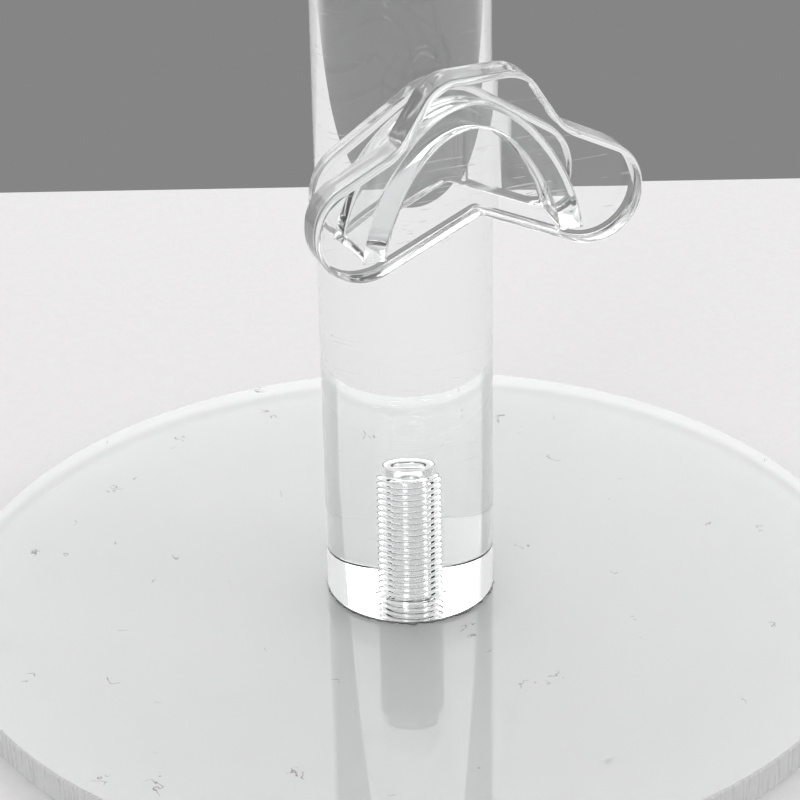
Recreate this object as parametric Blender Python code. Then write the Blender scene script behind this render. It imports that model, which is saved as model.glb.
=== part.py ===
"""Clear acrylic turntable display stand.

A round base disc carries an upright round post.  A countersunk screw comes up through the disc into
the post, so the post turns on the disc over a thin slip washer.  A nose-shaped saddle (a front plate,
an arch and a back plate) is bonded to the front of the post and holds the displayed item.

Frame: origin at the centre of the disc's underside, +Z up, the saddle faces -Y.  Metres.
"""

import math

import bmesh
import bpy
from mathutils import Vector

MM = 0.001

# Driving dimensions ---------------------------------------------------------------------------------
DISC_RADIUS = 69.0 * MM
DISC_THICKNESS = 4.6 * MM
DISC_EDGE_CHAMFER = 0.25 * MM

WASHER_RADIUS = 12.2 * MM
WASHER_HOLE_RADIUS = 3.8 * MM
WASHER_THICKNESS = 0.4 * MM

POST_RADIUS = 12.5 * MM
STAND_HEIGHT = 120.0 * MM
POST_TOP_CHAMFER = 0.8 * MM
POST_FOOT_CHAMFER = 0.3 * MM
BORE_TIP_HEIGHT = 28.2 * MM      # top of the bore's parallel part above the underside of the disc

SCREW_RADIUS = 3.0 * MM          # M6
SCREW_LENGTH = 25.0 * MM
SCREW_HEAD_RADIUS = 6.0 * MM
SCREW_HEAD_RIM = 0.35 * MM
SCREW_RECESS = 0.3 * MM          # the head lies this far inside the underside of the disc
SOCKET_ACROSS_FLATS = 4.0 * MM
SOCKET_DEPTH = 2.2 * MM

GAP = 0.3 * MM                   # between pieces that touch
FILM_GAP = 0.25 * MM             # above and below the slip washer

SADDLE_BASE = DISC_THICKNESS     # the saddle's outline heights count from the disc's top
FRONT_PLATE_FACE = 29.5 * MM     # front of the front plate, from the post's axis
FRONT_PLATE_THICKNESS = 5.3 * MM
ARCH_DEPTH_START = 15.5 * MM     # back end of the arch, from the post's axis
BACK_PLATE_FACE = 15.2 * MM
BACK_PLATE_REAR = 12.0 * MM
PLATE_EDGE_ROUND = 0.8 * MM
ARCH_EDGE_ROUND = 0.35 * MM

ARCH_FOOT = 66.8 * MM
ARCH_WALL = 3.0 * MM
ARCH_FRONT = (15.5 * MM, 86.6 * MM)   # half width at the foot, height of the crown
ARCH_BACK = (16.4 * MM, 84.4 * MM)

DISC_SEGMENTS = 144
POST_SEGMENTS = 96
SCREW_SEGMENTS = 48
ARC_STEP = math.radians(9.0)

# Half outlines, from the top centre out and round to the notch: half width, height, corner radius.
FRONT_PLATE_OUTLINE = (
    (0.0, 91.8, 0.0),
    (6.2, 91.8, 5.5),
    (11.8, 83.0, 7.0),
    (23.1, 77.2, 7.0),
    (23.1, 61.6, 7.0),
    (0.0, 72.2, 1.2),
)
BACK_PLATE_OUTLINE = (
    (0.0, 87.8, 8.0),
    (18.3, 75.7, 7.5),
    (18.3, 63.8, 4.6),
    (0.0, 72.2, 1.2),
)


def clear_scene():
    """Start from an empty scene."""
    for item in list(bpy.data.objects):
        bpy.data.objects.remove(item, do_unlink=True)


def material(name, color, roughness, metallic=0.0, transmission=0.0):
    """A Principled material."""
    result = bpy.data.materials.new(name)
    result.use_nodes = True
    shader = result.node_tree.nodes["Principled BSDF"]
    shader.inputs["Base Color"].default_value = (*color, 1.0)
    shader.inputs["Roughness"].default_value = roughness
    shader.inputs["Metallic"].default_value = metallic
    shader.inputs["Transmission Weight"].default_value = transmission
    shader.inputs["IOR"].default_value = 1.49
    result.diffuse_color = (*color, 1.0)
    return result


def add_object(name, mesh_builder, surface, parent=None):
    """Link a new object made from a bmesh, with smooth faces between sharp edges."""
    mesh = bpy.data.meshes.new(name)
    bmesh.ops.recalc_face_normals(mesh_builder, faces=mesh_builder.faces)
    mesh_builder.to_mesh(mesh)
    mesh_builder.free()
    mesh.shade_smooth()
    mesh.set_sharp_from_angle(angle=math.radians(35.0))
    mesh.materials.append(surface)
    result = bpy.data.objects.new(name, mesh)
    bpy.context.scene.collection.objects.link(result)
    result.parent = parent
    return result


def add_empty(name, location):
    """An empty that carries the pieces of one moving body."""
    result = bpy.data.objects.new(name, None)
    result.location = location
    bpy.context.scene.collection.objects.link(result)
    return result


def turned(profile, segments):
    """Solid of revolution about Z from a closed profile of (radius, height); radius 0 is a pole."""
    builder = bmesh.new()
    rings = []
    for radius, height in profile:
        if radius == 0.0:
            rings.append([builder.verts.new((0.0, 0.0, height))])
            continue
        ring = []
        for index in range(segments):
            angle = 2.0 * math.pi * index / segments
            ring.append(builder.verts.new((radius * math.cos(angle), radius * math.sin(angle), height)))
        rings.append(ring)
    count = len(rings)
    for lower, upper in ((rings[i], rings[(i + 1) % count]) for i in range(count)):
        if len(lower) == 1 and len(upper) == 1:
            continue
        for index in range(segments):
            after = (index + 1) % segments
            corners = [
                lower[index % len(lower)],
                lower[after % len(lower)],
                upper[after % len(upper)],
                upper[index % len(upper)],
            ]
            builder.faces.new(list(dict.fromkeys(corners)))
    return builder


def corner_arc(before, corner, after, radius):
    """Points of the arc that rounds one corner of an outline."""
    to_before = (before - corner).normalized()
    to_after = (after - corner).normalized()
    half_angle = to_before.angle(to_after) / 2.0
    reach = radius / math.tan(half_angle)
    centre = corner + (to_before + to_after).normalized() * (radius / math.sin(half_angle))
    start = corner + to_before * reach - centre
    finish = corner + to_after * reach - centre
    sweep = start.angle_signed(finish)
    steps = max(2, math.ceil(abs(sweep) / ARC_STEP))
    base = math.atan2(start.y, start.x)
    points = []
    for index in range(steps + 1):
        angle = base - sweep * index / steps
        points.append(centre + Vector((math.cos(angle), math.sin(angle))) * radius)
    return points


def mirrored_outline(half):
    """Closed outline of a symmetric plate from its half outline, as (x, z) points in metres."""
    right = [Vector((x * MM, z * MM)) for x, z, _ in half]
    radii = [radius * MM for _, _, radius in half]
    left = [Vector((-point.x, point.y)) for point in right[-2:0:-1]]
    loop = right + left
    loop_radii = radii + radii[-2:0:-1]
    points = []
    for index, corner in enumerate(loop):
        if loop_radii[index] == 0.0:
            points.append(corner)
            continue
        before = loop[index - 1]
        after = loop[(index + 1) % len(loop)]
        points.extend(corner_arc(before, corner, after, loop_radii[index]))
    return points


def extruded_plate(outline, near, far):
    """Plate between two distances in front of the post's axis, from an (x, z) outline."""
    builder = bmesh.new()
    verts = [builder.verts.new((p.x, -near, p.y + SADDLE_BASE)) for p in outline]
    face = builder.faces.new(verts)
    grown = bmesh.ops.extrude_face_region(builder, geom=[face])
    moved = [item for item in grown["geom"] if isinstance(item, bmesh.types.BMVert)]
    bmesh.ops.translate(builder, verts=moved, vec=(0.0, near - far, 0.0))
    return builder


def arch_half_width(turn, foot_half_width):
    """Half width of the arch at a turn from 0 at the crown to a right angle at the foot."""
    return foot_half_width * math.sin(turn)


def arch_drop(turn, rise):
    """Drop below the crown: midway between an ellipse and a parabola."""
    return rise * 0.5 * (math.sin(turn) ** 2 + 1.0 - math.cos(turn))


def arch_section(half_width, crown, distance, steps):
    """One closed section of the arch, outer line first, in the plane at a distance from the axis."""
    section = []
    for offset in (0.0, ARCH_WALL):
        line = []
        rise = crown - offset - ARCH_FOOT
        for index in range(-steps, steps + 1):
            turn = 0.5 * math.pi * index / steps
            x = arch_half_width(turn, half_width - offset)
            z = crown - offset - arch_drop(turn, rise) + SADDLE_BASE
            line.append((x, -distance, z))
        section.extend(line if offset == 0.0 else reversed(line))
    return section


def arch_solid():
    """Arched strip lofted from the back plate to the front plate; it widens towards the post."""
    builder = bmesh.new()
    near = ARCH_DEPTH_START
    far = FRONT_PLATE_FACE - FRONT_PLATE_THICKNESS - GAP
    slices = 6
    rings = []
    for index in range(slices + 1):
        along = index / slices
        flare = (1.0 - along) ** 2
        half_width = ARCH_FRONT[0] + (ARCH_BACK[0] - ARCH_FRONT[0]) * flare
        crown = ARCH_FRONT[1] + (ARCH_BACK[1] - ARCH_FRONT[1]) * flare
        section = arch_section(half_width, crown, near + (far - near) * along, 16)
        rings.append([builder.verts.new(point) for point in section])
    size = len(rings[0])
    for back, front in zip(rings, rings[1:]):
        for index in range(size):
            after = (index + 1) % size
            builder.faces.new((back[index], back[after], front[after], front[index]))
    for ring in (rings[0], rings[-1]):
        for index in range(size // 2 - 1):
            builder.faces.new((ring[index], ring[index + 1], ring[-index - 2], ring[-index - 1]))
    return builder


def add_bevel(target, width):
    """Round the sharp edges of a piece."""
    bevel = target.modifiers.new("Edge round", "BEVEL")
    bevel.width = width
    bevel.segments = 2
    bevel.limit_method = "ANGLE"
    bevel.angle_limit = math.radians(50.0)


def add_cut(target, cutter):
    """Subtract a hidden cutter."""
    cutter.hide_render = True
    cutter.display_type = "WIRE"
    cut = target.modifiers.new("Cut", "BOOLEAN")
    cut.operation = "DIFFERENCE"
    cut.solver = "EXACT"
    cut.object = cutter


def build_disc(surface):
    """Base disc with a plain hole and a countersink for the screw's head."""
    hole = SCREW_RADIUS + GAP
    sink = SCREW_HEAD_RADIUS + GAP * math.sqrt(2.0) + SCREW_RECESS
    sink_end = sink - hole
    edge = DISC_EDGE_CHAMFER
    profile = [
        (sink, 0.0),
        (DISC_RADIUS - edge, 0.0),
        (DISC_RADIUS, edge),
        (DISC_RADIUS, DISC_THICKNESS - edge),
        (DISC_RADIUS - edge, DISC_THICKNESS),
        (hole, DISC_THICKNESS),
        (hole, sink_end),
    ]
    return add_object("base_disc", turned(profile, DISC_SEGMENTS), surface)


def build_washer(surface):
    """Thin slip washer between the disc and the foot of the post."""
    low = DISC_THICKNESS + FILM_GAP
    high = low + WASHER_THICKNESS
    profile = [
        (WASHER_HOLE_RADIUS, low),
        (WASHER_RADIUS, low),
        (WASHER_RADIUS, high),
        (WASHER_HOLE_RADIUS, high),
    ]
    return add_object("slip_washer", turned(profile, POST_SEGMENTS), surface)


def build_post(surface, parent):
    """Round post with a blind bore for the screw, chamfered at both ends."""
    foot = DISC_THICKNESS + WASHER_THICKNESS + 2.0 * FILM_GAP
    bore = SCREW_RADIUS + GAP
    cone = bore * math.tan(math.radians(31.0))
    profile = [
        (bore, foot),
        (POST_RADIUS - POST_FOOT_CHAMFER, foot),
        (POST_RADIUS, foot + POST_FOOT_CHAMFER),
        (POST_RADIUS, STAND_HEIGHT - POST_TOP_CHAMFER),
        (POST_RADIUS - POST_TOP_CHAMFER, STAND_HEIGHT),
        (0.0, STAND_HEIGHT),
        (0.0, BORE_TIP_HEIGHT + cone),
        (bore, BORE_TIP_HEIGHT),
    ]
    return add_object("post", turned(profile, POST_SEGMENTS), surface, parent)


def build_screw(surface, parent):
    """Countersunk screw, its head at the underside of the disc, with a hexagon socket."""
    low = SCREW_RECESS
    neck = low + SCREW_HEAD_RIM + SCREW_HEAD_RADIUS - SCREW_RADIUS
    tip = low + SCREW_LENGTH
    tip_chamfer = 0.7 * MM
    profile = [
        (0.0, low),
        (SCREW_HEAD_RADIUS - 0.15 * MM, low),
        (SCREW_HEAD_RADIUS, low + SCREW_HEAD_RIM),
        (SCREW_RADIUS, neck),
        (SCREW_RADIUS, tip - tip_chamfer),
        (SCREW_RADIUS - tip_chamfer, tip),
        (0.0, tip),
    ]
    screw = add_object("pivot_screw", turned(profile, SCREW_SEGMENTS), surface, parent)
    corner = SOCKET_ACROSS_FLATS / math.sqrt(3.0)
    socket_profile = [(0.0, -1.0 * MM), (corner, -1.0 * MM), (corner, low + SOCKET_DEPTH)]
    socket_profile.append((0.0, low + SOCKET_DEPTH))
    add_cut(screw, add_object("socket_cutter", turned(socket_profile, 6), surface, parent))
    return screw


def build_front_plate(surface, parent):
    """Boomerang-shaped front plate that keeps the item on the saddle."""
    near = FRONT_PLATE_FACE - FRONT_PLATE_THICKNESS
    builder = extruded_plate(mirrored_outline(FRONT_PLATE_OUTLINE), near, FRONT_PLATE_FACE)
    plate = add_object("saddle_front_plate", builder, surface, parent)
    add_bevel(plate, PLATE_EDGE_ROUND)
    return plate


def build_back_plate(surface, parent):
    """Back plate, hollowed behind to sit on the round of the post."""
    builder = extruded_plate(mirrored_outline(BACK_PLATE_OUTLINE), BACK_PLATE_REAR, BACK_PLATE_FACE)
    plate = add_object("saddle_back_plate", builder, surface, parent)
    seat_radius = POST_RADIUS + GAP
    seat = [(0.0, 50.0 * MM), (seat_radius, 50.0 * MM), (seat_radius, 110.0 * MM), (0.0, 110.0 * MM)]
    add_cut(plate, add_object("seat_cutter", turned(seat, POST_SEGMENTS), surface, parent))
    return plate


def build_arch(surface, parent):
    """Arch that carries the item between the two plates."""
    arch = add_object("saddle_arch", arch_solid(), surface, parent)
    add_bevel(arch, ARCH_EDGE_ROUND)
    return arch


def main():
    """Build the stand."""
    clear_scene()
    acrylic = material("clear_acrylic", (0.93, 0.95, 0.94), 0.03, transmission=1.0)
    film = material("clear_film", (0.90, 0.91, 0.91), 0.25, transmission=0.8)
    steel = material("zinc_plated_steel", (0.74, 0.75, 0.76), 0.28, metallic=1.0)
    spindle = add_empty("spindle", (0.0, 0.0, 0.0))
    build_disc(acrylic)
    build_washer(film)
    build_post(acrylic, spindle)
    build_screw(steel, spindle)
    build_back_plate(acrylic, spindle)
    build_arch(acrylic, spindle)
    build_front_plate(acrylic, spindle)


main()
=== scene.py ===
"""Looks of the clear acrylic turntable display stand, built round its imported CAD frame.  Metres.

The spindle body (post, screw, saddle) turns on the base body (disc, slip film).  Every CAD node is
replaced by a finer piece in the same place: cut striations on the rim, a tapped bore with a threaded
screw in it, a crinkled slip film and a saddle with polished, softly rounded edges.
"""

import math
import random

import bmesh
import bpy
from mathutils import Matrix, Vector, noise


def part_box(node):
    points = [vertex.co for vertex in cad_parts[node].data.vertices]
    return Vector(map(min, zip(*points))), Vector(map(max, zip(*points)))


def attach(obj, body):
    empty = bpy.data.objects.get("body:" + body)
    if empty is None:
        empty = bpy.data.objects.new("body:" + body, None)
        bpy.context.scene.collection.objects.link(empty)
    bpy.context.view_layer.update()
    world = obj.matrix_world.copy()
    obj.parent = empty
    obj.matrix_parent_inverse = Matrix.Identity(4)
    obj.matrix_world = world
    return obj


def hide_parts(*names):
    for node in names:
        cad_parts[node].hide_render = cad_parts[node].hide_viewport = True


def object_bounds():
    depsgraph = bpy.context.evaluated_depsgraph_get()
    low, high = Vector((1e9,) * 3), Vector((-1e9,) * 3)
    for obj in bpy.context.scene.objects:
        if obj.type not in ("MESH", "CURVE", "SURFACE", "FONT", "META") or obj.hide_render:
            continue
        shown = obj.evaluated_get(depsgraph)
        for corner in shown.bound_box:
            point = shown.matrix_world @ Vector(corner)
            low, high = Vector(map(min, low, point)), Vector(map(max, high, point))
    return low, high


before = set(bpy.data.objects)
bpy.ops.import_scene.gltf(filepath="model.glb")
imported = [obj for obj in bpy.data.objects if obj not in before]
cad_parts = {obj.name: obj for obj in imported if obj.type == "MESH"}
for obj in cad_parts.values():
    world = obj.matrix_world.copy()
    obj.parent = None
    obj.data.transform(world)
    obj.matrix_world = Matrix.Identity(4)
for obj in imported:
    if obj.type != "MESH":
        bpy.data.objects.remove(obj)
CAD_LOW, CAD_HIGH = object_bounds()

MM = 0.001

# Places read from the frame --------------------------------------------------------------------------
DISC_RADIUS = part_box("base_disc")[1].x
DISC_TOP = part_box("base_disc")[1].z
POST_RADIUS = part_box("post")[1].x
POST_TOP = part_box("post")[1].z
BORE_TOP = POST_TOP - 93.1 * MM
BORE_DOME = 1.25 * MM
SCREW_LOW, SCREW_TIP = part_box("pivot_screw")[0].z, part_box("pivot_screw")[1].z
HEAD_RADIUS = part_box("pivot_screw")[1].x
FRONT_LOW, FRONT_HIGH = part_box("saddle_front_plate")
BACK_LOW, BACK_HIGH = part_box("saddle_back_plate")
ARCH_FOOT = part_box("saddle_arch")[0].z

# Sizes of the detail ---------------------------------------------------------------------------------
CONTACT = 0.02 * MM              # gap between bonded pieces
DISC_EDGE = 0.25 * MM            # width of the bevel round the disc's rim
DISC_EASE = 0.04 * MM            # rounding of that bevel's corners
DISC_SEGMENTS = 1200
RIM_ROWS = (0.02, 0.25, 0.5, 0.75, 0.98)
STRIATION_DEPTH = 0.025 * MM
SINK_RADIUS = 6.72 * MM
HOLE_RADIUS = 3.3 * MM
HOLE_BEVEL = 0.15 * MM

FILM_LOW = DISC_TOP + 0.07 * MM
FILM_THICKNESS = 0.14 * MM
FILM_RADIUS = 12.45 * MM
FILM_FLAT_RADIUS = 11.6 * MM     # inside this the film lies flat
FILM_HOLE = 3.8 * MM
FILM_TEAR = 0.42 * MM
FILM_LIFT_LOW = 0.20 * MM        # how far the torn edge curls up, underneath and on top
FILM_LIFT_HIGH = 0.24 * MM
FILM_SEGMENTS = 360

POST_FOOT = DISC_TOP + 0.32 * MM
POST_TOP_CHAMFER = 0.8 * MM
POST_TOP_EASE = 0.12 * MM
POST_FOOT_ROUND = 0.3 * MM
POST_SEGMENTS = 120
BORE_DOME_STEPS = 8
BORE_PLAIN = 1.3 * MM            # unthreaded length at the blind end of the bore
BORE_RUN_OUT = 0.8               # pitches over which the bore's thread fades
MOUTH_FLARE = 0.3 * MM

PITCH = 1.0 * MM
THREAD_ROOT = 2.46 * MM
THREAD_CREST = 2.97 * MM
THREAD_CLEARANCE = 0.05 * MM
THREAD_ROOT_FLAT = 0.08          # share of half a pitch that is flat at the root
THREAD_FLANK = 0.80              # share of half a pitch that slopes
ROWS_PER_PITCH = 9
SCREW_SEGMENTS = 72
SCREW_RADIUS = 3.0 * MM
HEAD_RIM = 0.35 * MM
SOCKET_ACROSS_FLATS = 4.0 * MM
SOCKET_DEPTH = 2.2 * MM
SOCKET_DRILL_POINT = 0.9 * MM
SOCKET_EASE = 0.15 * MM
NECK_RADIUS = 3.12 * MM
TIP_RADIUS = 2.1 * MM
TIP_TAPER = 0.75 * MM

PLATE_ROUND = 0.8 * MM
PLATE_ROUND_STEPS = 7
TOOL_LINE_SPACING = 0.35 * MM
TOOL_LINE_DEPTH = 0.03 * MM
ARC_STEP = math.radians(3.0)
SEAT_SEGMENTS = 240
SEAT_OVERSHOOT = 5.0 * MM
SHARP_ANGLE = math.radians(25.0)
ARCH_WALL = 3.0 * MM
ARCH_EDGE = 0.2 * MM
ARCH_STEPS = 40
ARCH_SPANS = 12
BEAD = 0.28 * MM                 # cement fillet where the arch meets the plates
BEAD_STEPS = 5

# Half outlines from the top centre round to the notch: half width, height, corner radius in mm.
FRONT_OUTLINE = (
    (0.0, 91.8, 0.0),
    (6.2, 91.8, 5.5),
    (11.8, 83.0, 7.0),
    (23.1, 77.2, 7.0),
    (23.1, 61.6, 7.0),
    (0.0, 72.2, 1.2),
)
BACK_OUTLINE = (
    (0.0, 87.8, 8.0),
    (18.3, 75.7, 7.5),
    (18.3, 63.8, 4.6),
    (0.0, 72.2, 1.2),
)
ARCH_FRONT = (15.5 * MM, 19.8 * MM)   # half width at the foot and rise, at the front plate
ARCH_BACK = (16.4 * MM, 17.6 * MM)    # the same at the post
BACK_TOP_DROP = 4.0 * MM              # the back plate's top lies this far under the front plate's

# Material constants ----------------------------------------------------------------------------------
ACRYLIC_IOR = 1.49
FILM_IOR = 1.45
SPECULAR_LEVEL = 0.5
SHEET_HAZE = 0.34                # share of the disc that scatters light rather than passing it
MARK_ROUGHNESS = 0.15

# Stage, light and camera constants -------------------------------------------------------------------
CAMERA_AZIMUTH = math.radians(-20.5)    # the camera stands to the left of the saddle's facing
CAMERA_DISTANCE = 0.426                 # from the post's axis at the top of the disc
CAMERA_RISE = math.radians(31.56)
VIEW_DOWN = math.radians(27.89)
VIEW_PAN = math.radians(-0.17)
VIEW_ROLL = math.radians(1.1)
CAMERA_SENSOR = 36.0
CAMERA_LENS = 126.5

FLOOR_SPREAD = 3.0
FLOOR_BACK = 0.16                       # the tabletop ends this far behind the post
FLOOR_DROP = 0.15 * MM
BACKDROP = (0.28, 0.28, 0.28)
BACKDROP_FACING = (0.0, 0.866, -0.5)    # the backdrop's middle, seen from the camera's side
BACKDROP_EDGE = (0.56, 0.78)            # where it fades out and where it is full, as cosines
LOW_LIGHT = (0.84, 0.84, 0.85)
HIGH_LIGHT = (1.0, 1.0, 1.01)
HIGH_LIGHT_START = 0.4
WORLD_STRENGTH = 0.84
LIGHT_TARGET = (0.0, 0.0, 0.04)
SOFTBOXES = (                           # name, place from the camera's side, width, height, power
    ("back_softbox", (-0.05, 1.0, 0.62), 2.2, 0.4, 4.0),
    ("low_back_softbox", (0.1, 1.0, 0.24), 1.4, 0.12, 1.1),
    ("front_softbox", (-0.35, -0.9, 0.6), 0.35, 0.5, 1.1),
    ("side_softbox", (0.75, -0.2, 0.5), 0.25, 0.5, 0.8),
)


# Meshes ----------------------------------------------------------------------------------------------
def ring_solid(name, rings, sharp_rings=(), flat_spans=(), loop=False, caps="face", slots=None):
    """A closed mesh through rings of points; a ring of one point is a pole.

    sharp_rings are rings whose edges stay crisp, flat_spans are bands shaded flat, loop joins the last
    ring to the first, caps closes the two end rings with one face or a strip of faces, and slots
    gives a band's material index.
    """
    builder = bmesh.new()
    made = [[builder.verts.new(point) for point in ring] for ring in rings]
    size = max(len(ring) for ring in made)
    spans = len(made) if loop else len(made) - 1
    for span in range(spans):
        lower, upper = made[span], made[(span + 1) % len(made)]
        if len(lower) == 1 and len(upper) == 1:
            continue
        for index in range(size):
            after = (index + 1) % size
            corners = [lower[index % len(lower)], lower[after % len(lower)]]
            corners += [upper[after % len(upper)], upper[index % len(upper)]]
            face = builder.faces.new(list(dict.fromkeys(corners)))
            face.smooth = span not in flat_spans
            face.material_index = slots.get(span, 0) if slots else 0
    for ring in () if loop or not caps else (made[0], made[-1]):
        if caps == "face":
            builder.faces.new(ring).smooth = False
            continue
        for index in range(size // 2 - 1):
            strip = (ring[index], ring[index + 1], ring[-index - 2], ring[-index - 1])
            builder.faces.new(strip).smooth = False
    for number in sharp_rings:
        ring = made[number]
        for index in range(len(ring)):
            edge = builder.edges.get((ring[index], ring[(index + 1) % len(ring)]))
            if edge:
                edge.smooth = False
    bmesh.ops.recalc_face_normals(builder, faces=builder.faces)
    mesh = bpy.data.meshes.new(name)
    builder.to_mesh(mesh)
    builder.free()
    piece = bpy.data.objects.new(name, mesh)
    bpy.context.scene.collection.objects.link(piece)
    return piece


def circle(radius, height, segments):
    """Ring of points round Z."""
    turns = [2.0 * math.pi * index / segments for index in range(segments)]
    return [(radius * math.cos(turn), radius * math.sin(turn), height) for turn in turns]


def quarter(steps):
    """Share of the inset and of the depth along a quarter round, from a wall to a flat."""
    angles = [0.5 * math.pi * step / steps for step in range(steps + 1)]
    return [(1.0 - math.cos(angle), math.sin(angle)) for angle in angles]


def applied(piece):
    """Make the result of a piece's modifiers its own mesh."""
    graph = bpy.context.evaluated_depsgraph_get()
    mesh = bpy.data.meshes.new_from_object(piece.evaluated_get(graph))
    piece.modifiers.clear()
    piece.data = mesh
    return piece


def finish_piece(piece, body, nodes, slot, *surfaces):
    """Give a piece its materials and the body it rides on, and hide the CAD nodes it stands for."""
    for surface in surfaces:
        piece.data.materials.append(surface)
    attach(piece, body)
    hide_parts(*nodes)
    return piece


# Materials -------------------------------------------------------------------------------------------
def color_socket(sockets, identifier):
    """The colour socket of a Mix node."""
    return [socket for socket in sockets if socket.identifier == identifier][0]


class Surface:
    """A Principled material with short calls for its nodes."""

    def __init__(self, name, **constants):
        self.material = bpy.data.materials.new(name)
        self.material.use_nodes = True
        self.tree = self.material.node_tree
        self.shader = self.tree.nodes["Principled BSDF"]
        for label, value in constants.items():
            self.shader.inputs[label.replace("_", " ")].default_value = value
        self.place = self.add("ShaderNodeTexCoord").outputs["Object"]

    def add(self, kind, **settings):
        """A new node with its settings."""
        node = self.tree.nodes.new(kind)
        for label, value in settings.items():
            setattr(node, label, value)
        return node

    def link(self, source, target):
        """Join an output to an input."""
        self.tree.links.new(source, target)

    def stretched(self, scale, turn=(0.0, 0.0, 0.0)):
        """Object coordinates, turned and scaled."""
        node = self.add("ShaderNodeMapping")
        node.inputs["Rotation"].default_value = turn
        node.inputs["Scale"].default_value = scale
        self.link(self.place, node.inputs["Vector"])
        return node.outputs["Vector"]

    def noise(self, scale, detail=2.0, vector=None, distortion=0.0):
        """Noise from 0 to 1, with about that many features a metre."""
        node = self.add("ShaderNodeTexNoise")
        node.inputs["Scale"].default_value = scale
        node.inputs["Detail"].default_value = detail
        node.inputs["Distortion"].default_value = distortion
        self.link(vector or self.place, node.inputs["Vector"])
        return node.outputs["Fac"]

    def spread(self, source, low, high, start, end):
        """Values from low to high read as start to end."""
        node = self.add("ShaderNodeMapRange")
        limits = {"From Min": low, "From Max": high, "To Min": start, "To Max": end}
        for label, value in limits.items():
            node.inputs[label].default_value = value
        self.link(source, node.inputs["Value"])
        return node.outputs["Result"]

    def math(self, operation, first, second):
        """Two values, or a value and a number, joined by a Math node."""
        node = self.add("ShaderNodeMath", operation=operation)
        self.link(first, node.inputs[0])
        if isinstance(second, float):
            node.inputs[1].default_value = second
        else:
            self.link(second, node.inputs[1])
        return node.outputs["Value"]

    def tints(self, factor, first, second):
        """Base colour between two tints; the first can be another node's output."""
        node = self.add("ShaderNodeMix", data_type="RGBA")
        if isinstance(first, tuple):
            color_socket(node.inputs, "A_Color").default_value = (*first, 1.0)
        else:
            self.link(first, color_socket(node.inputs, "A_Color"))
        color_socket(node.inputs, "B_Color").default_value = (*second, 1.0)
        self.link(factor, node.inputs["Factor"])
        output = color_socket(node.outputs, "Result_Color")
        self.link(output, self.shader.inputs["Base Color"])
        return output

    def bump(self, height, distance, below=None):
        """Bump of that height in metres, over another bump."""
        node = self.add("ShaderNodeBump")
        node.inputs["Strength"].default_value = 1.0
        node.inputs["Distance"].default_value = distance
        self.link(height, node.inputs["Height"])
        if below:
            self.link(below, node.inputs["Normal"])
        return node.outputs["Normal"]

    def scratches(self, turn, density):
        """Sparse hairline marks: 1 on a mark, 0 off it."""
        vector = self.stretched((110.0, 2600.0, 2600.0), turn)
        marks = self.noise(1.0, 1.0, vector, 0.6)
        return self.spread(marks, 1.0 - density, 1.02 - density, 0.0, 1.0)

    def fibres(self):
        """Short, curled specks of lint: 1 on a speck, 0 off it."""
        off_line = self.math("ABSOLUTE", self.math("SUBTRACT", self.noise(330.0, 2.0), 0.5), 0.0)
        line = self.spread(off_line, 0.006, 0.016, 1.0, 0.0)
        patch = self.spread(self.noise(170.0, 1.0), 0.69, 0.71, 0.0, 1.0)
        return self.math("MULTIPLY", line, patch)


def clear_acrylic(name, wave, rough, haze=0.0, lint=False):
    """Polished clear acrylic: faint tint, handling marks, a gentle wave in the faces."""
    clear = 1.0 - haze
    s = Surface(name, Transmission_Weight=clear, IOR=ACRYLIC_IOR, Specular_IOR_Level=SPECULAR_LEVEL)
    color = s.tints(s.noise(70.0), (0.975, 0.985, 0.98), (0.993, 0.997, 0.996))
    if lint:
        s.tints(s.fibres(), color, (0.22, 0.22, 0.22))
    first_marks = s.scratches((0.3, 0.5, 0.6), 0.26)
    marks = s.math("MAXIMUM", first_marks, s.scratches((1.2, -0.4, 2.1), 0.26))
    smudge = s.spread(s.noise(160.0, 3.0), 0.5, 0.8, 0.0, rough)
    roughness = s.math("ADD", smudge, s.math("MULTIPLY", marks, MARK_ROUGHNESS))
    s.link(roughness, s.shader.inputs["Roughness"])
    broad = s.bump(s.noise(85.0, 1.0), wave)
    fine = s.bump(marks, 0.004 * MM, broad)
    s.link(fine, s.shader.inputs["Normal"])
    return s.material


def cut_acrylic(name):
    """The sawn and sanded rim: frosted, with streaks across its thickness."""
    s = Surface(name, Transmission_Weight=0.25, IOR=ACRYLIC_IOR, Specular_IOR_Level=SPECULAR_LEVEL)
    color = s.tints(s.noise(300.0), (0.95, 0.955, 0.95), (0.99, 0.993, 0.99))
    streaks = s.noise(1.0, 3.0, s.stretched((1700.0, 1700.0, 130.0)))
    s.link(s.spread(streaks, 0.3, 0.7, 0.16, 0.42), s.shader.inputs["Roughness"])
    s.link(s.bump(streaks, 0.03 * MM), s.shader.inputs["Normal"])
    glow = s.add("ShaderNodeBsdfTranslucent")
    s.link(color, glow.inputs["Color"])
    mix = s.add("ShaderNodeMixShader")
    mix.inputs["Fac"].default_value = 0.5
    s.link(s.shader.outputs["BSDF"], mix.inputs[1])
    s.link(glow.outputs["BSDF"], mix.inputs[2])
    s.link(mix.outputs["Shader"], s.tree.nodes["Material Output"].inputs["Surface"])
    return s.material


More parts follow.
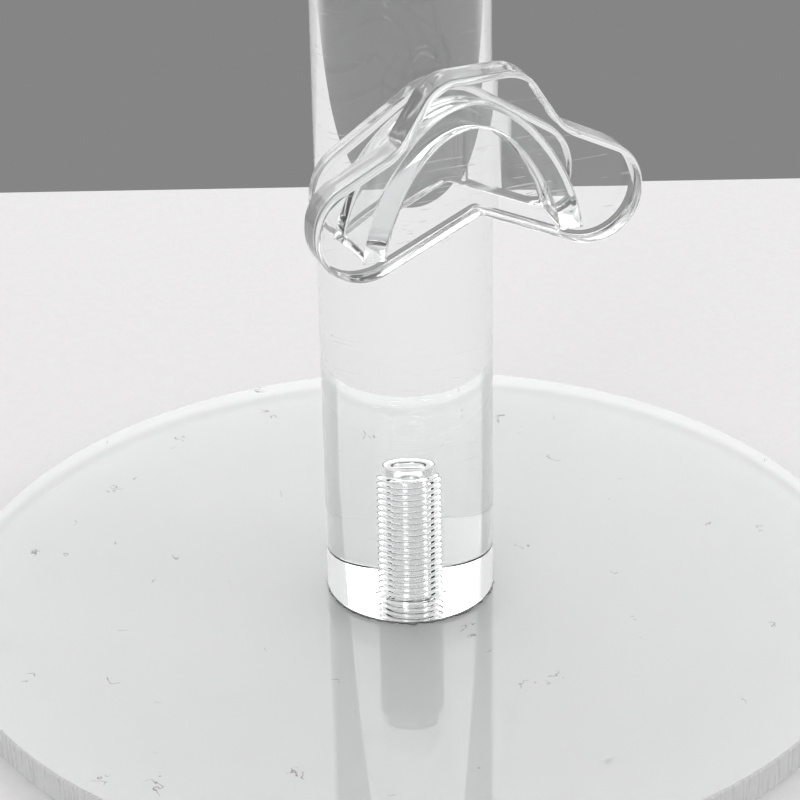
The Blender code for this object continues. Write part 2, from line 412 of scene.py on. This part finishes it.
def polished_edge(name):
    """Saddle edge, sawn and then polished: a trace of haze and softer gloss than the faces."""
    s = Surface(name, Transmission_Weight=0.8, IOR=ACRYLIC_IOR, Specular_IOR_Level=SPECULAR_LEVEL)
    s.tints(s.noise(260.0), (0.955, 0.96, 0.957), (0.99, 0.992, 0.99))
    streaks = s.noise(1.0, 2.0, s.stretched((260.0, 1900.0, 260.0)))
    s.link(s.spread(streaks, 0.35, 0.7, 0.03, 0.2), s.shader.inputs["Roughness"])
    s.link(s.bump(streaks, 0.01 * MM), s.shader.inputs["Normal"])
    return s.material


def clear_film(name):
    """Thin creased plastic film."""
    s = Surface(name, Transmission_Weight=1.0, IOR=FILM_IOR)
    s.tints(s.noise(500.0), (0.86, 0.87, 0.87), (0.97, 0.975, 0.975))
    creases = s.noise(650.0, 4.0, None, 1.2)
    s.link(s.spread(creases, 0.3, 0.7, 0.12, 0.4), s.shader.inputs["Roughness"])
    s.link(s.bump(creases, 0.12 * MM), s.shader.inputs["Normal"])
    return s.material


def zinc_steel(name):
    """Bright zinc plate: slightly uneven in tone and gloss."""
    s = Surface(name, Metallic=1.0)
    s.tints(s.noise(420.0, 3.0), (0.88, 0.885, 0.89), (0.97, 0.97, 0.965))
    spots = s.noise(1500.0, 3.0)
    s.link(s.spread(spots, 0.3, 0.7, 0.12, 0.28), s.shader.inputs["Roughness"])
    s.link(s.bump(spots, 0.006 * MM), s.shader.inputs["Normal"])
    return s.material


def pale_floor(name):
    """Plain pale tabletop with a faint paper grain."""
    s = Surface(name)
    s.tints(s.noise(420.0, 4.0), (0.745, 0.731, 0.736), (0.782, 0.769, 0.773))
    grain = s.noise(900.0, 3.0, None, 0.4)
    s.link(s.spread(grain, 0.3, 0.7, 0.5, 0.62), s.shader.inputs["Roughness"])
    s.link(s.bump(grain, 0.10 * MM), s.shader.inputs["Normal"])
    return s.material


# Pieces ----------------------------------------------------------------------------------------------
def build_disc(acrylic, cut):
    """Base disc: striated rim, eased edges, countersunk hole."""
    draw = random.Random(11)
    ridges = [draw.random() for _ in range(DISC_SEGMENTS)]
    bevel_low, bevel_high = DISC_EDGE, DISC_TOP - DISC_EDGE
    flat_radius = DISC_RADIUS - DISC_EDGE - DISC_EASE

    def rim(height, share):
        ring = []
        for index in range(DISC_SEGMENTS):
            turn = 2.0 * math.pi * index / DISC_SEGMENTS
            place = Vector((index * 0.31, height * 260.0, 3.7))
            depth = 0.55 * ridges[index] + 0.45 * (0.5 + 0.5 * noise.noise(place))
            radius = DISC_RADIUS - STRIATION_DEPTH * share * depth
            ring.append((radius * math.cos(turn), radius * math.sin(turn), height))
        return ring

    def plain(radius, height):
        return circle(radius, height, DISC_SEGMENTS)

    rings = [plain(SINK_RADIUS, 0.0), plain(flat_radius, 0.0)]
    rings.append(plain(DISC_RADIUS - DISC_EDGE, 0.3 * DISC_EASE))
    rings.append(rim(bevel_low, 0.6))
    for share in RIM_ROWS:
        rings.append(rim(bevel_low + (DISC_TOP - 2.0 * DISC_EDGE) * share, 1.0))
    rings.append(rim(bevel_high, 0.6))
    rings.append(plain(DISC_RADIUS - DISC_EDGE, DISC_TOP - 0.3 * DISC_EASE))
    rings.append(plain(flat_radius, DISC_TOP))
    rings.append(plain(HOLE_RADIUS + HOLE_BEVEL, DISC_TOP))
    rings.append(plain(HOLE_RADIUS, DISC_TOP - HOLE_BEVEL))
    rings.append(plain(HOLE_RADIUS, SINK_RADIUS - HOLE_RADIUS))
    cut_bands = {span: 1 for span in range(2, 10)}
    piece = ring_solid(
        "base_disc_clear", rings, sharp_rings=(0, 1, 2, 3, 9, 10, 11, 12, 13, 14),
        flat_spans=(0, 11), loop=True, slots=cut_bands,
    )
    return finish_piece(piece, "base", ("base_disc",), "clear_acrylic_disc", acrylic, cut)


def build_film(film):
    """Slip film: thin ring with a torn, crinkled edge that shows round the foot of the post."""
    def ring(radius, height, rough, lift):
        points = []
        for index in range(FILM_SEGMENTS):
            turn = 2.0 * math.pi * index / FILM_SEGMENTS
            place = Vector((math.cos(turn) * 3.1, math.sin(turn) * 3.1, 1.3))
            torn = noise.fractal(place * 2.4, 0.8, 2.2, 4)
            wave = noise.noise(place * 3.3 + Vector((9.0, 2.0, 4.0)))
            reach = radius + rough * torn
            rise = height + lift * max(0.0, wave)
            points.append((reach * math.cos(turn), reach * math.sin(turn), rise))
        return points

    low, high = FILM_LOW, FILM_LOW + FILM_THICKNESS
    rings = [circle(FILM_HOLE, low, FILM_SEGMENTS), ring(FILM_FLAT_RADIUS, low, 0.0, 0.0)]
    rings.append(ring(FILM_RADIUS, low, FILM_TEAR, FILM_LIFT_LOW))
    rings.append(ring(FILM_RADIUS, high, FILM_TEAR, FILM_LIFT_HIGH))
    rings.append(ring(FILM_FLAT_RADIUS, high, 0.0, 0.0))
    rings.append(circle(FILM_HOLE, high, FILM_SEGMENTS))
    piece = ring_solid("slip_film", rings, sharp_rings=(0, 2, 3, 5), loop=True)
    return finish_piece(piece, "base", ("slip_washer",), "clear_film", film)


def thread_radius(turn, height):
    """Radius of the screw's flank: a V thread with a flat crest and root."""
    phase = (height / PITCH - turn / (2.0 * math.pi)) % 1.0
    ramp = 1.0 - abs(2.0 * phase - 1.0)
    ramp = min(1.0, max(0.0, (ramp - THREAD_ROOT_FLAT) / THREAD_FLANK))
    return THREAD_ROOT + (THREAD_CREST - THREAD_ROOT) * ramp


def thread_ring(height, segments, extra, least, most):
    """One ring of a threaded wall, kept between two radii."""
    ring = []
    for index in range(segments):
        turn = 2.0 * math.pi * index / segments
        radius = min(most, max(least, thread_radius(turn, height) + extra))
        ring.append((radius * math.cos(turn), radius * math.sin(turn), height))
    return ring


def thread_rows(low, high):
    """Evenly spaced heights from low to high, about nine to a pitch."""
    count = round((high - low) / PITCH * ROWS_PER_PITCH)
    return [low + (high - low) * row / count for row in range(count + 1)]


def build_post(acrylic):
    """Clear post with eased ends and a tapped blind bore."""
    def plain(radius, height):
        return circle(radius, height, POST_SEGMENTS)

    mouth = THREAD_CREST + MOUTH_FLARE
    drill = THREAD_ROOT + THREAD_CLEARANCE
    rings = [plain(mouth, POST_FOOT)]
    sharp = [0, 1]
    for inset, depth in reversed(quarter(5)):
        height = POST_FOOT + POST_FOOT_ROUND * (1.0 - depth)
        rings.append(plain(POST_RADIUS - POST_FOOT_ROUND * inset, height))
    sharp.append(len(rings) - 1)
    rings.append(plain(POST_RADIUS, POST_TOP - POST_TOP_CHAMFER - POST_TOP_EASE))
    sharp.append(len(rings) - 1)
    rings.append(plain(POST_RADIUS - 0.3 * POST_TOP_EASE, POST_TOP - POST_TOP_CHAMFER))
    rings.append(plain(POST_RADIUS - POST_TOP_CHAMFER, POST_TOP - 0.3 * POST_TOP_EASE))
    rings.append(plain(POST_RADIUS - POST_TOP_CHAMFER - POST_TOP_EASE, POST_TOP))
    sharp.append(len(rings) - 1)
    top_flat = len(rings) - 1
    rings.append([(0.0, 0.0, POST_TOP)])
    rings.append([(0.0, 0.0, BORE_TOP + BORE_DOME)])
    for step in range(BORE_DOME_STEPS - 1, 0, -1):
        lean = 0.5 * math.pi * step / BORE_DOME_STEPS
        rings.append(plain(drill * math.cos(lean), BORE_TOP + BORE_DOME * math.sin(lean)))
    rings.append(plain(drill, BORE_TOP))
    sharp.append(len(rings) - 1)
    plain_end = BORE_TOP - BORE_PLAIN
    rings.append(plain(drill, plain_end + 0.05 * MM))
    for height in reversed(thread_rows(POST_FOOT, plain_end)[1:]):
        opening = max(0.0, mouth - (height - POST_FOOT))
        fade = min(1.0, (plain_end - height) / (BORE_RUN_OUT * PITCH))
        limit = drill + (mouth - drill) * fade
        least = max(drill, opening)
        rings.append(thread_ring(height, POST_SEGMENTS, THREAD_CLEARANCE, least, max(least, limit)))
    piece = ring_solid(
        "post_clear", rings, sharp_rings=sharp, flat_spans=(0, top_flat), loop=True,
    )
    return finish_piece(piece, "spindle", ("post",), "clear_acrylic_post", acrylic)


def hexagon(across_flats, height, segments):
    """Ring of points along a hexagon, as many as a circle's ring has."""
    ring = []
    for index in range(segments):
        turn = 2.0 * math.pi * index / segments
        off = (turn + math.radians(30.0)) % math.radians(60.0) - math.radians(30.0)
        radius = across_flats / 2.0 / math.cos(off)
        ring.append((radius * math.cos(turn), radius * math.sin(turn), height))
    return ring


def build_screw(steel):
    """Countersunk socket screw with a cut thread."""
    def plain(radius, height):
        return circle(radius, height, SCREW_SEGMENTS)

    floor = SCREW_LOW + SOCKET_DEPTH
    neck = SCREW_LOW + HEAD_RIM + HEAD_RADIUS - SCREW_RADIUS
    rings = [[(0.0, 0.0, floor + SOCKET_DRILL_POINT)]]
    rings.append(hexagon(SOCKET_ACROSS_FLATS, floor, SCREW_SEGMENTS))
    rings.append(hexagon(SOCKET_ACROSS_FLATS, SCREW_LOW + SOCKET_EASE, SCREW_SEGMENTS))
    rings.append(plain(SOCKET_ACROSS_FLATS / math.sqrt(3.0) + 0.12 * MM, SCREW_LOW))
    rings.append(plain(HEAD_RADIUS - 0.2 * MM, SCREW_LOW))
    rings.append(plain(HEAD_RADIUS - 0.05 * MM, SCREW_LOW + 0.07 * MM))
    rings.append(plain(HEAD_RADIUS, SCREW_LOW + 0.18 * MM))
    rings.append(plain(HEAD_RADIUS, SCREW_LOW + HEAD_RIM))
    rings.append(plain(NECK_RADIUS, neck - 0.12 * MM))
    rings.append(plain(THREAD_CREST, neck + 0.15 * MM))
    start, end = neck + 0.4 * MM, SCREW_TIP - 0.12 * MM
    for height in thread_rows(start, end):
        taper = THREAD_CREST - max(0.0, height - (SCREW_TIP - TIP_TAPER))
        run_in = THREAD_CREST - (height - start) * 0.8
        least = max(THREAD_ROOT - 0.3 * MM, run_in)
        rings.append(thread_ring(height, SCREW_SEGMENTS, 0.0, min(least, taper), taper))
    rings.append(plain(TIP_RADIUS, SCREW_TIP))
    rings.append([(0.0, 0.0, SCREW_TIP - 0.05 * MM)])
    piece = ring_solid(
        "pivot_screw_threaded", rings, sharp_rings=(1, 2, 3, 4, 7, 8, 9), flat_spans=(1, 3), caps="",
    )
    return finish_piece(piece, "spindle", ("pivot_screw",), "zinc_plated_steel", steel)


def corner_arc(before, corner, after, radius):
    """Points of the arc that rounds one corner of an outline."""
    to_before = (before - corner).normalized()
    to_after = (after - corner).normalized()
    half_angle = to_before.angle(to_after) / 2.0
    reach = radius / math.tan(half_angle)
    centre = corner + (to_before + to_after).normalized() * (radius / math.sin(half_angle))
    start = corner + to_before * reach - centre
    finish = corner + to_after * reach - centre
    sweep = start.angle_signed(finish)
    steps = max(2, math.ceil(abs(sweep) / ARC_STEP))
    base = math.atan2(start.y, start.x)
    points = []
    for index in range(steps + 1):
        angle = base - sweep * index / steps
        direction = Vector((math.cos(angle), math.sin(angle)))
        points.append(centre + direction * radius)
    return points


def closed_outline(half, height):
    """Closed outline of a symmetric plate, its top at a height, as (x, z) points in metres."""
    top = max(z for _, z, _ in half)
    right = [Vector((x * MM, (z - top) * MM + height)) for x, z, _ in half]
    radii = [radius * MM for _, _, radius in half]
    left = [Vector((-point.x, point.y)) for point in right[-2:0:-1]]
    loop = right + left
    loop_radii = radii + radii[-2:0:-1]
    points = []
    for index, corner in enumerate(loop):
        if loop_radii[index] == 0.0:
            continue
        after = loop[(index + 1) % len(loop)]
        points.extend(corner_arc(loop[index - 1], corner, after, loop_radii[index]))
    return points


def inset_outline(points, amount):
    """The outline moved inwards by an amount."""
    moved = []
    count = len(points)
    for index, point in enumerate(points):
        along = (points[(index + 1) % count] - points[index - 1]).normalized()
        inward = Vector((along.y, -along.x))
        moved.append(point + inward * amount)
    return moved


def build_plate(name, outline, face, rear, seed):
    """Plate with softly rounded, polished edges that keep faint lengthwise tool lines."""
    draw = random.Random(seed)
    rings, sharp = [], []

    def ring(inset, distance):
        rings.append([(p.x, -distance, p.y) for p in inset_outline(outline, inset)])

    rounds = quarter(PLATE_ROUND_STEPS)
    for inset, depth in reversed(rounds):
        ring(PLATE_ROUND * inset, face - PLATE_ROUND * (1.0 - depth))
    sharp.append(0)
    wall = face - rear - 2.0 * PLATE_ROUND
    rows = max(2, round(wall / TOOL_LINE_SPACING))
    for row in range(1, rows):
        ring(TOOL_LINE_DEPTH * draw.random(), face - PLATE_ROUND - wall * row / rows)
    for inset, depth in rounds:
        ring(PLATE_ROUND * inset, rear + PLATE_ROUND * (1.0 - depth))
    sharp.append(len(rings) - 1)
    edge_bands = {span: 1 for span in range(1, len(rings) - 2)}
    return ring_solid(name, rings, sharp_rings=sharp, slots=edge_bands)


def seat_cut(plate):
    """Hollow the back of a plate to the round of the post."""
    heights = (BACK_LOW.z - SEAT_OVERSHOOT, BACK_HIGH.z + SEAT_OVERSHOOT)
    ends = [circle(POST_RADIUS + CONTACT, z, SEAT_SEGMENTS) for z in heights]
    cutter = ring_solid("seat_cutter", ends)
    cut = plate.modifiers.new("Seat", "BOOLEAN")
    cut.solver = "EXACT"
    cut.object = cutter
    applied(plate)
    bpy.data.objects.remove(cutter, do_unlink=True)
    builder = bmesh.new()
    builder.from_mesh(plate.data)
    for edge in builder.edges:
        if len(edge.link_faces) == 2 and edge.calc_face_angle() > SHARP_ANGLE:
            edge.smooth = False
    builder.to_mesh(plate.data)
    builder.free()


def build_saddle(acrylic, edge):
    """Front plate, back plate and the arch between them."""
    front_face, front_rear = -FRONT_LOW.y, -FRONT_HIGH.y
    outline = closed_outline(FRONT_OUTLINE, FRONT_HIGH.z)
    front = build_plate("saddle_front_clear", outline, front_face, front_rear, 5)
    finish_piece(front, "spindle", ("saddle_front_plate",), "clear_acrylic_saddle", acrylic, edge)
    back_face, back_rear = -BACK_LOW.y, -BACK_HIGH.y
    outline = closed_outline(BACK_OUTLINE, FRONT_HIGH.z - BACK_TOP_DROP)
    back = build_plate("saddle_back_clear", outline, back_face, back_rear, 6)
    seat_cut(back)
    finish_piece(back, "spindle", ("saddle_back_plate",), "clear_acrylic_saddle", acrylic, edge)
    arch = build_arch(back_face + CONTACT, front_rear - CONTACT)
    finish_piece(arch, "spindle", ("saddle_arch",), "clear_acrylic_saddle", acrylic)


def arch_line(half_width, rise, side, distance):
    """One side of the arch's section, foot to foot; its ends ease towards the inside of the wall."""
    line = []
    for index in range(-ARCH_STEPS, ARCH_STEPS + 1):
        turn = 0.5 * math.pi * index / ARCH_STEPS
        drop = rise * 0.5 * (math.sin(turn) ** 2 + 1.0 - math.cos(turn))
        line.append((half_width * math.sin(turn), -distance, ARCH_FOOT + rise - drop))
    for end, sign in ((0, -1.0), (-1, 1.0)):
        line[end] = (sign * half_width, -distance, ARCH_FOOT + ARCH_EDGE)
    ease = [(0.3 * ARCH_EDGE, 0.3 * ARCH_EDGE), (ARCH_EDGE, 0.0)]
    for inwards, height in ease:
        x = half_width - side * inwards
        line.insert(0, (-x, -distance, ARCH_FOOT + height))
        line.append((x, -distance, ARCH_FOOT + height))
    return line


def build_arch(near, far):
    """The arch, lofted from the back plate to the front plate, with a cement fillet at both ends."""
    depth = far - near
    turns = [0.5 * math.pi * step / BEAD_STEPS for step in range(BEAD_STEPS + 1)]
    marks = [BEAD * (1.0 - math.cos(turn)) for turn in turns]
    places = marks + [BEAD + (depth - 2.0 * BEAD) * step / ARCH_SPANS for step in range(1, ARCH_SPANS)]
    places += [depth - mark for mark in reversed(marks)]
    rings = []
    for place in places:
        flare = (1.0 - place / depth) ** 2
        half_width = ARCH_FRONT[0] + (ARCH_BACK[0] - ARCH_FRONT[0]) * flare
        rise = ARCH_FRONT[1] + (ARCH_BACK[1] - ARCH_FRONT[1]) * flare
        off_end = min(place, depth - place, BEAD)
        swell = BEAD - math.sqrt(BEAD ** 2 - (BEAD - off_end) ** 2)
        swell = min(swell, 0.8 * BEAD)
        outer = arch_line(half_width + swell, rise + swell, 1.0, near + place)
        wall = ARCH_WALL + swell
        inner = arch_line(half_width - wall, rise - wall, -1.0, near + place)
        rings.append(outer + inner[::-1])
    return ring_solid("saddle_arch_clear", rings, sharp_rings=(0, len(rings) - 1), caps="strip")


# Stage, light and camera -----------------------------------------------------------------------------
def build_floor(surface):
    """Plain pale tabletop under the stand, square to the camera."""
    level = CAD_LOW.z - FLOOR_DROP
    corners = [(-FLOOR_SPREAD, -FLOOR_SPREAD), (FLOOR_SPREAD, -FLOOR_SPREAD)]
    corners += [(x, FLOOR_BACK) for x in (FLOOR_SPREAD, -FLOOR_SPREAD)]
    turn = Matrix.Rotation(CAMERA_AZIMUTH, 4, "Z")
    mesh = bpy.data.meshes.new("floor")
    mesh.from_pydata([turn @ Vector((x, y, level)) for x, y in corners], [], [(0, 1, 2, 3)])
    mesh.materials.append(surface)
    floor = bpy.data.objects.new("floor", mesh)
    bpy.context.scene.collection.objects.link(floor)


def build_world():
    """Plain backdrop low down beyond the tabletop, with soft light from everywhere else."""
    world = bpy.data.worlds.new("studio")
    bpy.context.scene.world = world
    world.use_nodes = True
    tree = world.node_tree
    place = tree.nodes.new("ShaderNodeTexCoord")
    facing = tree.nodes.new("ShaderNodeVectorMath")
    facing.operation = "DOT_PRODUCT"
    middle = Matrix.Rotation(CAMERA_AZIMUTH, 3, "Z") @ Vector(BACKDROP_FACING)
    facing.inputs[1].default_value = middle
    split = tree.nodes.new("ShaderNodeSeparateXYZ")
    mix = tree.nodes.new("ShaderNodeMix")
    mix.data_type = "RGBA"
    rise = tree.nodes.new("ShaderNodeValToRGB")
    near = tree.nodes.new("ShaderNodeMapRange")
    near.interpolation_type = "SMOOTHSTEP"
    near.inputs["From Min"].default_value = BACKDROP_EDGE[0]
    near.inputs["From Max"].default_value = BACKDROP_EDGE[1]
    stops = ((0.0, LOW_LIGHT), (HIGH_LIGHT_START, HIGH_LIGHT))
    for element, (position, color) in zip(rise.color_ramp.elements, stops):
        element.position = position
        element.color = (*color, 1.0)
    tree.links.new(place.outputs["Generated"], facing.inputs[0])
    tree.links.new(place.outputs["Generated"], split.inputs["Vector"])
    tree.links.new(split.outputs["Z"], rise.inputs["Fac"])
    tree.links.new(facing.outputs["Value"], near.inputs["Value"])
    tree.links.new(near.outputs["Result"], mix.inputs["Factor"])
    tree.links.new(rise.outputs["Color"], color_socket(mix.inputs, "A_Color"))
    color_socket(mix.inputs, "B_Color").default_value = (*BACKDROP, 1.0)
    background = tree.nodes["Background"]
    tree.links.new(color_socket(mix.outputs, "Result_Color"), background.inputs["Color"])
    background.inputs["Strength"].default_value = WORLD_STRENGTH


def add_softbox(name, place, width, height, power):
    """Rectangular area light aimed at the stand; its place counts from the camera's side."""
    lamp = bpy.data.lights.new(name, "AREA")
    lamp.shape = "RECTANGLE"
    lamp.size = width
    lamp.size_y = height
    lamp.energy = power
    holder = bpy.data.objects.new(name, lamp)
    bpy.context.scene.collection.objects.link(holder)
    holder.location = Matrix.Rotation(CAMERA_AZIMUTH, 4, "Z") @ Vector(place)
    aim = Vector(LIGHT_TARGET) - holder.location
    holder.rotation_euler = aim.to_track_quat("-Z", "Y").to_euler()


def build_camera():
    """Camera at the product shot's viewing angle."""
    lens = bpy.data.cameras.new("camera")
    lens.sensor_width = CAMERA_SENSOR
    lens.lens = CAMERA_LENS
    camera = bpy.data.objects.new("camera", lens)
    bpy.context.scene.collection.objects.link(camera)
    bpy.context.scene.camera = camera
    ahead = Vector((
        math.sin(VIEW_PAN) * math.cos(VIEW_DOWN),
        math.cos(VIEW_PAN) * math.cos(VIEW_DOWN),
        -math.sin(VIEW_DOWN),
    ))
    right = ahead.cross(Vector((0.0, 0.0, 1.0))).normalized()
    down = ahead.cross(right)
    rolled_right = right * math.cos(VIEW_ROLL) + down * math.sin(VIEW_ROLL)
    rolled_down = -right * math.sin(VIEW_ROLL) + down * math.cos(VIEW_ROLL)
    pose = Matrix((rolled_right, -rolled_down, -ahead)).transposed().to_4x4()
    back_off = CAMERA_DISTANCE * math.cos(CAMERA_RISE)
    pose.translation = (0.0, -back_off, CAMERA_DISTANCE * math.sin(CAMERA_RISE))
    pose = Matrix.Rotation(CAMERA_AZIMUTH, 4, "Z") @ pose
    pose.translation.z += DISC_TOP
    camera.matrix_world = pose


def main():
    """Build the stand, its stage and its light."""
    sheet = clear_acrylic("clear_acrylic_sheet", 0.004 * MM, 0.02, SHEET_HAZE, True)
    build_disc(sheet, cut_acrylic("cut_acrylic_rim"))
    build_film(clear_film("clear_film"))
    build_post(clear_acrylic("clear_acrylic_rod", 0.004 * MM, 0.02))
    build_screw(zinc_steel("zinc_plated_steel"))
    plate = clear_acrylic("clear_acrylic_plate", 0.015 * MM, 0.05)
    build_saddle(plate, polished_edge("polished_acrylic_edge"))
    build_floor(pale_floor("pale_floor"))
    build_world()
    for softbox in SOFTBOXES:
        add_softbox(*softbox)
    build_camera()
    bpy.context.scene.view_settings.view_transform = "Standard"


main()
